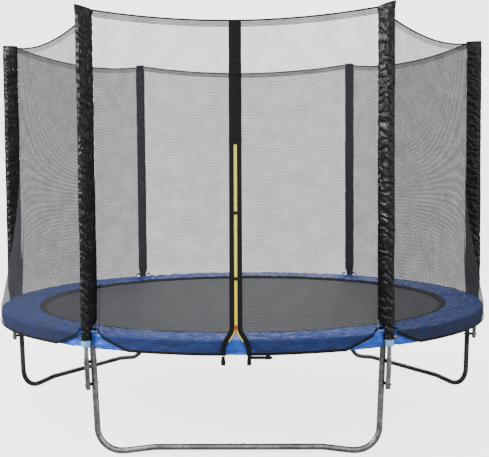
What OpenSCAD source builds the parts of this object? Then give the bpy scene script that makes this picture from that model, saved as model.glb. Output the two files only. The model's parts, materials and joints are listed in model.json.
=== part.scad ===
/* [Frame] */
// Outside diameter of the top ring of rails
ring_outer_d = 3050; // [2900:10:3200]
// Outside diameter of the rail and leg tube
tube_d = 32; // [28:1:38]
// Wall thickness of the steel tubes
tube_wall = 1.5; // [1.2:0.1:2]
// Height of the top face of the mat above the ground
mat_height = 619; // [580:1:680]
// Angle from the front to each front leg upright
front_leg_angle = 30; // [28:0.5:32]
// Angle from the front to the front upright of each side leg
side_leg_angle = 94; // [90:0.5:96]
// Angle from the front to the back upright of each side leg
back_leg_angle = 147.5; // [145:0.5:150]
// Inward taper of the leg uprights, in degrees
leg_taper = 2.4; // [0:0.1:4]
// Bend radius of the leg tube on its centreline
leg_bend_r = 125; // [90:5:160]
// Rise of the middle of each floor bar above its corners
bar_rise = 18; // [8:1:30]

/* [Enclosure] */
// Height of the top of the pole sleeves
enclosure_height = 2309; // [2150:1:2400]
// Sag of the net's top edge between two poles
net_sag = 60; // [20:5:90]
// Thickness of the net as a solid
net_t = 1.2; // [1:0.1:2]
// Outside diameter of the foam tube round each pole
foam_d = 46; // [42:1:48]
// Height of the lower end of the foam tubes
foam_bottom = 568; // [562:1:580]
// Height of the lower end of the pole sleeves
sleeve_bottom = 606; // [600:1:620]
// Distance from a pole's axis to the centre of the sleeve's narrow side
sleeve_reach = 48; // [30:1:55]

/* [Bed] */
// Number of springs round the mat, a multiple of six
spring_count = 54; // [48:6:60]
// Outside diameter of each spring
spring_d = 24; // [20:1:25]
// Radius of the mat
mat_r = 1310; // [1300:1:1315]
// Inner radius of the safety pad
pad_inner_r = 1268; // [1255:1:1275]
// Outer radius of the safety pad
pad_outer_r = 1535; // [1534:1:1540]
// Height of the lower edge of the pad's skirt
skirt_bottom = 563; // [550:1:575]

/* [Doorway] */
// Height of the top of the zip
zip_top = 1610; // [1500:10:1700]
// Height of the zip slider when the doorway is closed
slider_height = 692; // [685:1:720]
// Width of the black strip over the doorway
strip_w = 64; // [56:1:70]
// Width of the coloured zip between its two tapes
zip_w = 14; // [10:1:18]

/* [Hidden] */
$fn = 48;
ring_r = (ring_outer_d - tube_d) / 2;
tube_in = tube_d - 2 * tube_wall;
socket_d = tube_d - 0.8;
spigot_d = tube_in - 0.8;
spigot_in = spigot_d - 2 * tube_wall;
spigot_l = 60;
rail_z = mat_height - 14;
// The six uprights, anticlockwise from above, starting at the front right
places = ["front_right", "right", "back_right", "back_left", "left", "front_left"];
angles = [
    front_leg_angle, side_leg_angle, back_leg_angle,
    -back_leg_angle, -side_leg_angle, -front_leg_angle
];
partners = [5, 2, 1, 4, 3, 0];
// Each sleeve's turn from straight inward, towards the net panel in front of it
sleeve_turns = [24, 0, 0, 0, 0, -24];

// Poles and what fastens them
pole_gap = 16;
low_pole_d = 25.4;
pole_d = 22;
pole_wall = 1.2;
pole_offset = tube_d / 2 + low_pole_d / 2 + pole_gap;
bolt_twist = 12;
bolt_d = 6;
bolt_hole_d = 6.6;
bolt_drops = [115, 232];
low_pole_top = 95;
low_pole_end = 258;
socket_end = 133;
fit_gap = 0.3;
pole_top = enclosure_height - 42;
foam_top = pole_top - 22;
pad_top = mat_height + 25;
sleeve_wide_from = pad_top + 8;
sleeve_t = 1;
sleeve_outer_r = foam_d / 2 + 2.5;
sleeve_inner_r = 13;

// Bed
mat_t = 1.5;
hem_t = 2;
hem_up = 0.4;
hem_w = 52;
spring_z = mat_height - 10;
spring_inner_r = 1357;
spring_outer_r = 1474;
wire_r = 1.5;
hook_l = 7;
hook_in_r = 1336;
hook_out_r = ring_r - tube_in / 2 + 4;
ring_apex_r = 1344;
ring_base_r = 1304;

// Net
net_out_r = pad_outer_r + 5;
net_low_z = pad_top + 5;
net_high_z = enclosure_height - 18;
net_cols = 22;
net_rows = 5;
in_from = 15;
in_run = 100;
drop_run = 170;
hem_low_z = skirt_bottom - 1;
strip_t = 1.6;
panel_names = [
    "net_right_front", "net_right_back", "net_back", "net_left_back", "net_left_front"
];

function ease(t) = let (c = min(1, max(0, t))) c * c * (3 - 2 * c);
function mix(a, b, t) = a + (b - a) * t;
function at(r, a) = [r * sin(a), -r * cos(a)];
function unit(v) = v / norm(v);
function upright(k) = at(ring_r, angles[k]);
function outward(k) = unit(upright(k));
function inward(k) = unit(upright(partners[k]) - upright(k));
// Along the ring, away from the upright's partner on the same leg
function sideways(k) =
    let (out = outward(k), side = [-out[1], out[0]], away = upright(k) - upright(partners[k]))
    side * (side * away > 0 ? 1 : -1);
function bolt_dir(k) = outward(k) * cos(bolt_twist) + sideways(k) * sin(bolt_twist);
function pole_at(k) =
    upright(k) + bolt_dir(k) * pole_offset + inward(k) * low_pole_top * sin(leg_taper);
function turned(v, a) = [v[0] * cos(a) - v[1] * sin(a), v[0] * sin(a) + v[1] * cos(a)];
function sleeve_dir(k) = turned(-unit(pole_at(k)), sleeve_turns[k]);
function heading(v) = atan2(v[1], v[0]);
function angle_of(p) = atan2(p[0], -p[1]);
// Where the net is sewn to each sleeve
function net_edge(k) =
    pole_at(k) + sleeve_dir(k) * (sleeve_reach + sleeve_inner_r + 3.6);

module tube(d, length, wall = tube_wall) {
    difference() {
        cylinder(d = d, h = length);
        translate([0, 0, -1]) cylinder(d = d - 2 * wall, h = length + 2);
    }
}

// The tilted line of one leg upright: origin on the ring, +X towards its pole
module at_upright(k) {
    translate([upright(k)[0], upright(k)[1], rail_z])
        rotate(a = -leg_taper, v = [-inward(k)[1], inward(k)[0], 0])
        rotate([0, 0, heading(bolt_dir(k))])
        children();
}

module bolt_holes() {
    for (drop = bolt_drops)
        translate([-tube_d, 0, -drop]) rotate([0, 90, 0]) cylinder(d = bolt_hole_d, h = 110);
}

module ring_arc(from, sweep, section_d) {
    rotate([0, 0, from - 90])
        rotate_extrude(angle = sweep) translate([ring_r, 0]) circle(d = section_d);
}

module rail(k) {
    start = 60 * k;
    pitch = 360 / spring_count;
    color("silver")
    difference() {
        union() {
            translate([0, 0, rail_z]) {
                ring_arc(start + 0.02, 59.96, tube_d);
                ring_arc(start + 59.9, 1.7, spigot_d);
            }
            at_upright(k) translate([0, 0, -socket_end]) cylinder(d = socket_d, h = socket_end - 3);
        }
        translate([0, 0, rail_z]) {
            ring_arc(start - 0.1, 59.9, tube_in);
            ring_arc(start + 59.7, 2, spigot_in);
        }
        at_upright(k) {
            translate([0, 0, -socket_end - 1])
                cylinder(d = tube_in, h = socket_end - tube_d / 2 - 1);
            bolt_holes();
        }
        for (i = [0 : spring_count / 6 - 1])
            rotate([0, 0, start + (i + 0.5) * pitch - 90])
            translate([ring_r - tube_d / 2 - 3, 0, spring_z])
            rotate([0, 90, 0])
            cylinder(r = wire_r + 0.8, h = tube_d / 2 - 4);
    }
}

// A tube in one plane: each step is [straight length, bend angle, bend radius].
// The bends are a little thicker than the straight runs and lap over their ends.
bend_more = 0.3;
bend_lap = 2;
module tube_run(steps, d, i = 0) {
    run = steps[i][0];
    bend = abs(steps[i][1]);
    r = steps[i][2];
    side = sign(steps[i][1]);
    start = i == 0 ? 0 : bend_lap;
    translate([0, 0, -start]) cylinder(d = d, h = start + run + (bend > 0 ? bend_lap : 0));
    if (bend > 0) {
        translate([side * r, 0, run])
            rotate([90, 0, 0])
            rotate([0, 0, side > 0 ? 180 - bend : 0])
            rotate_extrude(angle = bend)
            translate([r, 0]) circle(d = d + bend_more);
        translate([side * r * (1 - cos(bend)), 0, run + r * sin(bend)])
            rotate([0, side * bend, 0])
            tube_run(steps, d, i + 1);
    }
}

// Floor bar from the middle of the leg outwards, the corner, and the upright up to its socket
rise_angle = 7;
rise_r = 220;
low_run = 10;
rise_straight = (bar_rise - 2 * rise_r * (1 - cos(rise_angle))) / sin(rise_angle);
rise_x = 2 * rise_r * sin(rise_angle) + rise_straight * cos(rise_angle);
low_z = (tube_d + bend_more) / 2;
upright_h = rail_z - low_z - leg_bend_r * (1 - sin(leg_taper));
upright_l = upright_h / cos(leg_taper) - socket_end - fit_gap;
function half_span(k) = norm(upright(k) - upright(partners[k])) / 2;
function flat_half(k) =
    half_span(k) - upright_h * tan(leg_taper) - leg_bend_r * cos(leg_taper) - rise_x - low_run;
function leg_steps(k, from, short) = [
    [flat_half(k) - from, rise_angle, rise_r],
    [rise_straight, -rise_angle, rise_r],
    [low_run, leg_taper - 90, leg_bend_r],
    [upright_l - short, 0, 0]
];

module leg_line(k) {
    middle = (upright(k) + upright(partners[k])) / 2;
    translate([middle[0], middle[1], low_z + bar_rise])
        rotate([0, 0, heading(upright(k) - middle)])
        rotate([0, 90, 0])
        children();
}

// Half a leg; the half with the spigot carries the sleeve joint in the middle of the bar
module leg_half(k, has_spigot) {
    shoulder = has_spigot ? 5 : -1;
    color("silver")
    difference() {
        union() {
            leg_line(k) {
                translate([0, 0, fit_gap]) tube_run(leg_steps(k, fit_gap, 0), tube_d);
                if (has_spigot)
                    translate([0, 0, -spigot_l]) cylinder(d = spigot_d, h = spigot_l + shoulder + 1);
            }
            at_upright(k) translate([0, 0, -socket_end - 3]) cylinder(d = spigot_d, h = 59);
        }
        leg_line(k) {
            translate([0, 0, shoulder]) tube_run(leg_steps(k, shoulder, 4), tube_in);
            if (has_spigot)
                translate([0, 0, -spigot_l - 1]) cylinder(d = spigot_in, h = spigot_l + 12);
            translate([20, 0, has_spigot ? -spigot_l / 2 : spigot_l / 2])
                rotate([0, -90, 0]) cylinder(d = 5.4, h = 40);
        }
        at_upright(k) {
            translate([0, 0, -socket_end - 12]) cylinder(d = spigot_in, h = 90);
            bolt_holes();
        }
    }
}

module low_pole(k) {
    color("silver")
    at_upright(k)
    difference() {
        translate([pole_offset, 0, -low_pole_end])
            tube(low_pole_d, low_pole_end - low_pole_top, pole_wall);
        bolt_holes();
    }
}

// Upright pole; its bent lower end plugs into the top of the lower pole
module pole(k) {
    joint_z = rail_z - low_pole_top;
    plug_l = 34;
    bore = pole_d - 2 * pole_wall;
    color("tan")
    difference() {
        union() {
            translate([pole_at(k)[0], pole_at(k)[1], joint_z])
                cylinder(d = pole_d, h = pole_top - joint_z);
            at_upright(k)
                translate([pole_offset, 0, -low_pole_top - plug_l])
                cylinder(d = pole_d - 0.6, h = plug_l + 4);
        }
        translate([pole_at(k)[0], pole_at(k)[1], joint_z + 6])
            cylinder(d = bore, h = pole_top - joint_z);
        at_upright(k) {
            translate([pole_offset, 0, -low_pole_top - plug_l - 1]) cylinder(d = bore, h = plug_l);
            bolt_holes();
        }
    }
}

module foam(k) {
    p = pole_at(k);
    color("lightskyblue")
    translate([p[0], p[1], foam_bottom])
    difference() {
        cylinder(d = foam_d, h = foam_top - foam_bottom);
        translate([0, 0, -1]) cylinder(d = pole_d + 1, h = foam_top - foam_bottom + 2);
    }
}

// Outline of the loose sleeve: round the foam at one end, narrow where the net is sewn on
module sleeve_outline(inset) {
    hull() {
        circle(r = sleeve_outer_r - inset);
        translate([sleeve_reach, 0]) circle(r = sleeve_inner_r - inset, $fn = 24);
    }
}

module sleeve(k) {
    wide_h = enclosure_height - sleeve_wide_from;
    neck_h = sleeve_wide_from - sleeve_bottom + sleeve_t / 2;
    neck_r = sleeve_outer_r - 0.5;
    color([0.12, 0.12, 0.12])
    translate([pole_at(k)[0], pole_at(k)[1], 0])
    rotate([0, 0, heading(sleeve_dir(k))])
    difference() {
        union() {
            translate([0, 0, sleeve_bottom]) cylinder(r = neck_r, h = neck_h);
            translate([0, 0, sleeve_wide_from]) linear_extrude(wide_h) sleeve_outline(0);
        }
        translate([0, 0, sleeve_wide_from + sleeve_t]) linear_extrude(wide_h) sleeve_outline(sleeve_t);
        translate([0, 0, sleeve_bottom - 1]) cylinder(r = neck_r - sleeve_t, h = neck_h + 2);
    }
}

// Net panels. A column stands at each share u of the way from pole a to pole b.
function span_angle(a, b) =
    let (d = angle_of(net_edge(b)) - angle_of(net_edge(a))) d < -180 ? d + 360 : d;
function net_angle(a, b, u) = angle_of(net_edge(a)) + span_angle(a, b) * u;
function run_from_pole(a, b, u) = min(u, 1 - u) * span_angle(a, b) * net_out_r * PI / 180;
function edge_r(a, b, u) =
    mix(
        norm(net_edge(u < 0.5 ? a : b)), net_out_r,
        ease((run_from_pole(a, b, u) - in_from) / in_run)
    );
function hem_z(a, b, u) =
    mix(net_low_z, hem_low_z, ease((run_from_pole(a, b, u) - in_from - in_run) / drop_run));
function top_point(a, b, u) =
    let (p = mix(net_edge(a), net_edge(b), u))
    [p[0], p[1], net_high_z - net_sag * 4 * u * (1 - u)];
function edge_point(a, b, u) =
    let (p = at(edge_r(a, b, u), net_angle(a, b, u))) [p[0], p[1], net_low_z];
function hem_point(a, b, u) =
    let (p = edge_point(a, b, u)) [p[0], p[1], min(hem_z(a, b, u), net_low_z - 1)];
function column(a, b, u) = concat(
    [hem_point(a, b, u)],
    [for (i = [0 : net_rows]) mix(edge_point(a, b, u), top_point(a, b, u), i / net_rows)]
);
// Shares of a span with a small gap at both ends, closer together near the poles
seam_share = 0.0018;
function spaced(i) = mix(seam_share, 1 - seam_share, (1 - cos(180 * i / net_cols)) / 2);

// A closed sheet of even thickness through a grid of points
module sheet(grid, way, thick = net_t) {
    cols = len(grid);
    rows = len(grid[0]);
    size = cols * rows;
    half = [way[0], way[1], 0] * thick / 2;
    points = concat(
        [for (c = grid, p = c) p + half],
        [for (c = grid, p = c) p - half]
    );
    function id(c, r, back = 0) = back * size + c * rows + r;
    rim = concat(
        [for (c = [0 : cols - 1]) [c, 0]],
        [for (r = [1 : rows - 1]) [cols - 1, r]],
        [for (c = [cols - 2 : -1 : 0]) [c, rows - 1]],
        [for (r = [rows - 2 : -1 : 1]) [0, r]]
    );
    faces = concat(
        [for (c = [0 : cols - 2], r = [0 : rows - 2], f = [0, 1])
            f == 0
                ? [id(c, r), id(c, r + 1), id(c + 1, r + 1)]
                : [id(c, r), id(c + 1, r + 1), id(c + 1, r)]],
        [for (c = [0 : cols - 2], r = [0 : rows - 2], f = [0, 1])
            f == 0
                ? [id(c, r, 1), id(c + 1, r + 1, 1), id(c, r + 1, 1)]
                : [id(c, r, 1), id(c + 1, r, 1), id(c + 1, r + 1, 1)]],
        [for (i = [0 : len(rim) - 1], f = [0, 1])
            let (p = rim[i], q = rim[(i + 1) % len(rim)])
            f == 0
                ? [id(p[0], p[1]), id(q[0], q[1]), id(q[0], q[1], 1)]
                : [id(p[0], p[1]), id(q[0], q[1], 1), id(p[0], p[1], 1)]]
    );
    polyhedron(points, faces);
}

module net_panel(a, b) {
    middle = unit(net_edge(a) + net_edge(b));
    color([0.2, 0.2, 0.2, 0.4])
    sheet([for (i = [0 : net_cols]) column(a, b, spaced(i))], middle);
}

// Front panel, from pole 5 to pole 0. Each half of the doorway folds on a straight line from
// the top of the zip to the point near the pole where the hem starts to drop.
fold_gap = 4;
seam_gap = 0.6;
fold_share = (in_from + in_run) / (span_angle(5, 0) * net_out_r * PI / 180);
strip_low = edge_point(5, 0, 0.5);
strip_high = top_point(5, 0, 0.5);
fold_top = mix(strip_low, strip_high, (zip_top - strip_low[2]) / (strip_high[2] - strip_low[2]));
fold_low = edge_point(5, 0, fold_share);
fold_slope = (fold_top[2] - fold_low[2]) / (fold_top[0] - fold_low[0]);
centre_share = 0.5 + (strip_w / 2 + seam_gap) / (2 * net_edge(5)[0]);
function on_fold(u, lift) =
    mix(fold_low, fold_top, (u - fold_share) / (0.5 - fold_share)) + [0, 0, lift];
function fixed_column(u) =
    u < fold_share + 0.005
    ? column(5, 0, u)
    : [for (i = [0 : net_rows + 1])
        mix(on_fold(u, fold_gap), top_point(5, 0, u), i / (net_rows + 1))];

module net_front_half() {
    shares = [for (i = [0 : net_cols / 2]) spaced(i)];
    color([0.2, 0.2, 0.2, 0.4])
    sheet(
        [for (u = concat([for (s = shares) if (s < centre_share - 0.02) s], [centre_share]))
            fixed_column(u)],
        [0, -1]
    );
}

// The door's inner edge spreads below the slider, over the pad and its skirt
spread_edge = 16;
spread_hem = 44;
function on_edge(x, z) = [x, -sqrt(net_out_r * net_out_r - x * x), z];
function door_column(u, share) =
    let (
        e = edge_point(5, 0, u),
        f = on_fold(u, -fold_gap),
        s = mix(e, f, min(0.5, (slider_height - e[2]) / (f[2] - e[2])))
    )
    [
        on_edge(e[0] - spread_hem * share, hem_z(5, 0, u)),
        on_edge(e[0] - spread_edge * share, e[2]),
        s, mix(s, f, 0.33), mix(s, f, 0.67), f
    ];

module door_net_half() {
    cols = 9;
    first = fold_share + 0.012;
    last = 0.5 - (strip_w / 2 + seam_gap) / (span_angle(5, 0) * net_out_r * PI / 180);
    color([0.2, 0.2, 0.2, 0.4])
    sheet(
        [for (i = [0 : cols]) door_column(mix(first, last, i / cols), max(0, i / cols * 2 - 1))],
        [0, -1]
    );
}

// The doorway's centre line: up from the pad's edge, leaning in
strip_lean = atan((strip_high[1] - strip_low[1]) / (strip_high[2] - strip_low[2]));
function along(z) = (z - strip_low[2]) / cos(strip_lean);

module on_strip(front = 0) {
    translate(strip_low)
        rotate([90 - strip_lean, 0, 0])
        translate([0, 0, front])
        children();
}

module door_strip() {
    half = strip_w / 2;
    color([0.1, 0.1, 0.1])
    on_strip(-strip_t / 2)
    linear_extrude(strip_t)
    polygon([
        [-half, along(zip_top - fold_slope * half + fold_gap)],
        [0, along(zip_top + fold_gap)],
        [half, along(zip_top - fold_slope * half + fold_gap)],
        [half, along(strip_high[2])],
        [-half, along(strip_high[2])]
    ]);
}

// A strip beside the doorway's centre from x = out to x = in, parting below the slider. Its top is
// cut back further from the fold line at its outer side, where it swings past the fixed strip.
function strip_point(x, z) =
    [x, strip_low[1] + max(0, z - net_low_z) * tan(strip_lean), z];
function parting_column(x) = [
    strip_point(x - spread_hem, hem_low_z),
    strip_point(x - spread_edge, net_low_z),
    strip_point(x, slider_height),
    strip_point(x, zip_top + fold_slope * x - fold_gap + 0.2 * x)
];

module parting_strip(out, in, thick) {
    sheet([parting_column(out), parting_column(in)], [0, -1], thick);
}

module door_edge_half() {
    color([0.1, 0.1, 0.1]) parting_strip(-strip_w / 2, -zip_w / 2 - seam_gap, strip_t);
}

module zip_half() {
    color([0.9, 0.85, 0.25]) parting_strip(-zip_w / 2, -0.2, 2);
}

module zip_slider() {
    low = along(slider_height);
    color("firebrick")
    on_strip(1.5) {
        translate([-6, low, 0]) cube([12, 20, 4]);
        translate([0, low + 5, 3]) cylinder(d = 5, h = 3);
        translate([-3, low - 28, 4.5])
            difference() {
                cube([6, 36, 2]);
                translate([3, 5, -1]) cylinder(d = 3, h = 4);
            }
    }
}

toggle_heights = [938, 1262];
toggle_h = 22;
toggle_in = -13;
hook_x = -strip_w / 2 - spread_hem + 12;

// A webbing end and its hook, hanging at one lower corner of the doorway
module hem_hook(lean) {
    translate([hook_x, strip_low[1], hem_low_z - seam_gap])
        rotate([0, lean, 0]) {
            translate([-9, -1, -22]) cube([18, 2, 18]);
            translate([-11, -5, -48]) cube([22, 10, 27]);
        }
}

module door_clips_left() {
    color([0.15, 0.15, 0.15]) {
        for (z = toggle_heights)
            on_strip(1.3)
            translate([-strip_w / 2 + 4, along(z) - toggle_h / 2, 0])
            cube([toggle_in + strip_w / 2 - 4, toggle_h, 5]);
        hem_hook(0);
    }
}

// Loops over the toggles' side of the zip, and the hook with its strap along the hem
module door_clips_right() {
    strap_w = 16;
    strap_from = -hook_x - 6;
    color([0.15, 0.15, 0.15]) {
        for (z = toggle_heights)
            on_strip(2.2)
            translate([toggle_in + 0.8, along(z) - toggle_h / 2 + 3, 0])
            cube([strip_w / 2 - 4 - toggle_in, toggle_h - 6, 2]);
        mirror([1, 0, 0]) hem_hook(0);
        translate([strap_from, strip_low[1] - 3.4, hem_low_z - 18]) cube([120, 2, strap_w]);
        translate([strap_from + 88, strip_low[1] - 5.2, hem_low_z - 20]) cube([22, 4, strap_w + 4]);
    }
}

module top_cord() {
    ring = [for (k = [0 : 5], i = [0 : 11]) let (b = (k + 1) % 6) top_point(k, b, i / 12)];
    n = len(ring);
    sides = 8;
    cord_r = 2;
    lift = cord_r + 2;
    color([0.08, 0.08, 0.08])
    polyhedron(
        [for (i = [0 : n - 1], j = [0 : sides - 1])
            let (
                p = ring[i],
                q = ring[(i + 1) % n] - ring[(i - 1 + n) % n],
                side = unit([q[1], -q[0], 0]),
                a = 360 * j / sides
            )
            p + side * (cord_r * cos(a)) + [0, 0, lift + cord_r * sin(a)]],
        [for (i = [0 : n - 1], j = [0 : sides - 1], f = [0, 1])
            let (m = (i + 1) % n, l = (j + 1) % sides)
            f == 0
                ? [i * sides + j, i * sides + l, m * sides + l]
                : [i * sides + j, m * sides + l, m * sides + j]]
    );
}

module pad() {
    low = mat_height + 1;
    under = low + 6;
    skirt_t = 4;
    color("royalblue")
    difference() {
        rotate_extrude(angle = 360)
            polygon([
                [pad_inner_r, low],
                [mat_r + 4, low],
                [mat_r + 18, under],
                [ring_r + 18, under],
                [pad_outer_r - skirt_t, low],
                [pad_outer_r - skirt_t, skirt_bottom],
                [pad_outer_r, skirt_bottom],
                [pad_outer_r, pad_top - 10],
                [pad_outer_r - 7, pad_top - 2],
                [pad_inner_r + 14, pad_top - 10],
                [pad_inner_r, low + 6]
            ]);
        for (k = [0 : 5])
            translate([pole_at(k)[0], pole_at(k)[1], skirt_bottom - 10])
                cylinder(r = sleeve_outer_r + 1.5, h = pad_top - skirt_bottom + 20);
    }
}

// The bed's sheet and its sewn hem, which stands a little above and below the sheet
module mat() {
    hem_r = mat_r - hem_w;
    low = mat_height - mat_t;
    color([0.2, 0.2, 0.2])
    rotate_extrude(angle = 360, $fn = 96)
        polygon([
            [0, low], [hem_r, low], [hem_r, low - hem_t], [mat_r, low - hem_t],
            [mat_r, mat_height + hem_up], [hem_r, mat_height + hem_up], [hem_r, mat_height],
            [0, mat_height]
        ]);
}

module each_spring() {
    pitch = 360 / spring_count;
    for (i = [0 : spring_count - 1]) rotate([0, 0, (i + 0.5) * pitch - 90]) children();
}

// The ring is a triangle with its point outwards, under the hem and over the spring's hook
module mat_rings() {
    ring_t = 4;
    wire = 4;
    wide = 18;
    narrow = 5;
    color("gainsboro")
    each_spring()
    translate([0, 0, spring_z + wire_r + 0.6])
    linear_extrude(ring_t)
    difference() {
        polygon([[ring_base_r, -wide], [ring_base_r, wide], [ring_apex_r, narrow], [ring_apex_r, -narrow]]);
        polygon([
            [ring_base_r + wire, 6 - wide],
            [ring_base_r + wire, wide - 6],
            [ring_apex_r - wire, narrow - 2],
            [ring_apex_r - wire, 2 - narrow]
        ]);
    }
}

module springs() {
    length = spring_outer_r - spring_inner_r;
    coil_in = spring_d / 2 - 2.2;
    flange = 2.5;
    eye = 1;
    color("gainsboro")
    each_spring()
    translate([0, 0, spring_z]) {
        translate([spring_inner_r, 0, 0])
            rotate([0, 90, 0])
            rotate_extrude(angle = 360)
            polygon([
                [eye, 0], [spring_d / 2, 0], [spring_d / 2, length], [eye, length],
                [eye, length - flange], [coil_in, length - flange], [coil_in, flange], [eye, flange]
            ]);
        translate([hook_in_r, 0, 0]) {
            rotate([0, 90, 0]) cylinder(r = wire_r, h = spring_inner_r - hook_in_r + 1);
            cylinder(r = wire_r - 0.1, h = hook_l);
        }
        translate([spring_outer_r - 1, 0, 0]) rotate([0, 90, 0])
            cylinder(r = wire_r, h = hook_out_r - spring_outer_r + 1);
        translate([hook_out_r, 0, -hook_l]) cylinder(r = wire_r - 0.1, h = hook_l);
    }
}

// Two bolts with nuts at every pole, and one screw in the middle of every leg
module bolts_and_screws() {
    outer = pole_offset + low_pole_d / 2;
    color("dimgray") {
        for (k = [0 : 5], drop = bolt_drops)
            at_upright(k)
            translate([0, 0, -drop])
            rotate([0, 90, 0]) {
                translate([0, 0, outer + fit_gap]) cylinder(d = 13, h = 4);
                translate([0, 0, -tube_d / 2 - 7]) cylinder(d = bolt_d, h = outer + tube_d / 2 + 8);
                translate([0, 0, -tube_d / 2 - 5.5]) cylinder(d = 11.5, h = 5, $fn = 6);
            }
        for (k = [5, 2, 3])
            leg_line(k)
            translate([0, 0, -spigot_l / 2])
            rotate([0, -90, 0]) {
                translate([0, 0, -12]) cylinder(d = 5, h = 12 + tube_d / 2 + 1);
                translate([0, 0, tube_d / 2 + fit_gap]) cylinder(d = 10, h = 3.4);
            }
    }
}

module pole_spacers() {
    color([0.1, 0.1, 0.1])
    for (k = [0 : 5], drop = bolt_drops)
        at_upright(k)
        translate([tube_d / 2 + fit_gap, 0, -drop])
        rotate([0, 90, 0])
        difference() {
            cylinder(d = 18, h = pole_gap - 2 * fit_gap);
            translate([0, 0, -1]) cylinder(d = bolt_hole_d, h = pole_gap + 2);
        }
}

for (k = [0 : 5]) rail(k);
for (k = [0 : 5]) leg_half(k, k == 5 || k == 2 || k == 3);
for (k = [0 : 5]) low_pole(k);
for (k = [0 : 5]) pole(k);
for (k = [0 : 5]) foam(k);
for (k = [0 : 5]) sleeve(k);
for (k = [0 : 4]) net_panel(k, k + 1);
net_front_half();  // net_front_left
mirror([1, 0, 0]) net_front_half();  // net_front_right
door_net_half();  // door_net_left
mirror([1, 0, 0]) door_net_half();  // door_net_right
door_strip();
door_edge_half();  // door_edge_left
mirror([1, 0, 0]) door_edge_half();  // door_edge_right
zip_half();  // zip_left
mirror([1, 0, 0]) zip_half();  // zip_right
zip_slider();
door_clips_left();
door_clips_right();
top_cord();
pad();
mat();
mat_rings();
springs();
bolts_and_screws();
pole_spacers();
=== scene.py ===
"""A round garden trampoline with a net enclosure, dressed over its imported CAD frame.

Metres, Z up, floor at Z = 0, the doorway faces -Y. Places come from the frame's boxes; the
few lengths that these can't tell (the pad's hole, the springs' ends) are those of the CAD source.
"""

import json
import math

import bpy
import numpy as np
from mathutils import Matrix, Vector, noise


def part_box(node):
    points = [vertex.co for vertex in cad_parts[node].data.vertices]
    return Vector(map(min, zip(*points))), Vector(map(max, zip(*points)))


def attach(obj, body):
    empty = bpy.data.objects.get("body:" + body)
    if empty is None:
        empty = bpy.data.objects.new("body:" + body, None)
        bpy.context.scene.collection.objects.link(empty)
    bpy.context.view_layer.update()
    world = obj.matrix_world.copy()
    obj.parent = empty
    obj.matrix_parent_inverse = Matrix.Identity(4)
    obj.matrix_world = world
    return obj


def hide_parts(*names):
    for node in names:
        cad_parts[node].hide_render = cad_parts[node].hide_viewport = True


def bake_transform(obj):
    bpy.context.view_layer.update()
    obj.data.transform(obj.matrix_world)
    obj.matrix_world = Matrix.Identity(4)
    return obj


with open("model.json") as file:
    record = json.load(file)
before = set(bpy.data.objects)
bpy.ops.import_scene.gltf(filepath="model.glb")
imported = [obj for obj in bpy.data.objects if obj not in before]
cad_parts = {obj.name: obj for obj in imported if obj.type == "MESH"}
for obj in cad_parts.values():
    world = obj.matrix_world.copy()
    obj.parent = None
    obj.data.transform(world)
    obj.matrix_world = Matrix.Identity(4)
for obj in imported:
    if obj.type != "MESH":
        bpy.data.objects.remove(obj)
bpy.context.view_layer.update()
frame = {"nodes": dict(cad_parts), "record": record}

POLES = ["front_right", "right", "back_right", "back_left", "left", "front_left"]
FRONT = (5, 0)  # the two poles beside the doorway, as the front panel runs
BACK = (2, 3)
TAU = 2 * math.pi
UP = np.array([0, 0, 1.0])


# ---------------------------------------------------------------- camera, light and floor
def set_camera():
    """The camera fitted to the photograph: place in metres, angles in radians."""
    place = (0.1342, -6.0398, 1.4697)
    yaw, pitch, roll = -0.0196, 0.0621, 0.0076
    level = math.cos(pitch)
    forward = Vector((math.sin(yaw) * level, math.cos(yaw) * level, -math.sin(pitch)))
    right = Vector((math.cos(yaw), -math.sin(yaw), 0))
    up = right.cross(forward)
    x = right * math.cos(roll) - up * math.sin(roll)
    y = right * math.sin(roll) + up * math.cos(roll)
    z = -forward
    data = bpy.data.cameras.new("camera")
    data.sensor_fit = "HORIZONTAL"
    data.sensor_width = 36
    data.lens = 67.90
    data.clip_end = 100
    cam = bpy.data.objects.new("camera", data)
    cam.matrix_world = Matrix(
        ((x.x, y.x, z.x, place[0]), (x.y, y.y, z.y, place[1]), (x.z, y.z, z.z, place[2]), (0, 0, 0, 1))
    )
    bpy.context.scene.collection.objects.link(cam)
    bpy.context.scene.camera = cam


def area_light(name, place, aim, size, power):
    data = bpy.data.lights.new(name, "AREA")
    data.shape = "RECTANGLE"
    data.size, data.size_y = size
    data.energy = power
    lamp = bpy.data.objects.new(name, data)
    lamp.location = place
    lamp.rotation_euler = (Vector(aim) - Vector(place)).to_track_quat("-Z", "Y").to_euler()
    lamp.visible_camera = False
    bpy.context.scene.collection.objects.link(lamp)


def set_light():
    """A soft studio: a world that is bright overhead and dim below the horizon, and three panels."""
    world = bpy.data.worlds.new("studio")
    bpy.context.scene.world = world
    world.use_nodes = True
    tree = world.node_tree
    back = tree.nodes["Background"]
    back.inputs["Color"].default_value = (1, 1, 1, 1)
    coord = tree.nodes.new("ShaderNodeTexCoord")
    split = tree.nodes.new("ShaderNodeSeparateXYZ")
    span = tree.nodes.new("ShaderNodeMapRange")
    span.inputs["From Min"].default_value = -0.25
    span.inputs["From Max"].default_value = 0.9
    span.inputs["To Min"].default_value = 0.30
    span.inputs["To Max"].default_value = 1.7
    tree.links.new(coord.outputs["Generated"], split.inputs[0])
    tree.links.new(split.outputs["Z"], span.inputs["Value"])
    tree.links.new(span.outputs[0], back.inputs["Strength"])
    area_light("key", (-6.4, -3.2, 4.6), (0, 0, 1.0), (2.2, 2.2), 900)
    area_light("fill", (4.5, -5.0, 2.5), (0, 0, 1.0), (3.0, 3.0), 150)
    area_light("back", (0.5, 6.5, 3.6), (0, 0, 0.8), (4.0, 1.5), 260)


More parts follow.
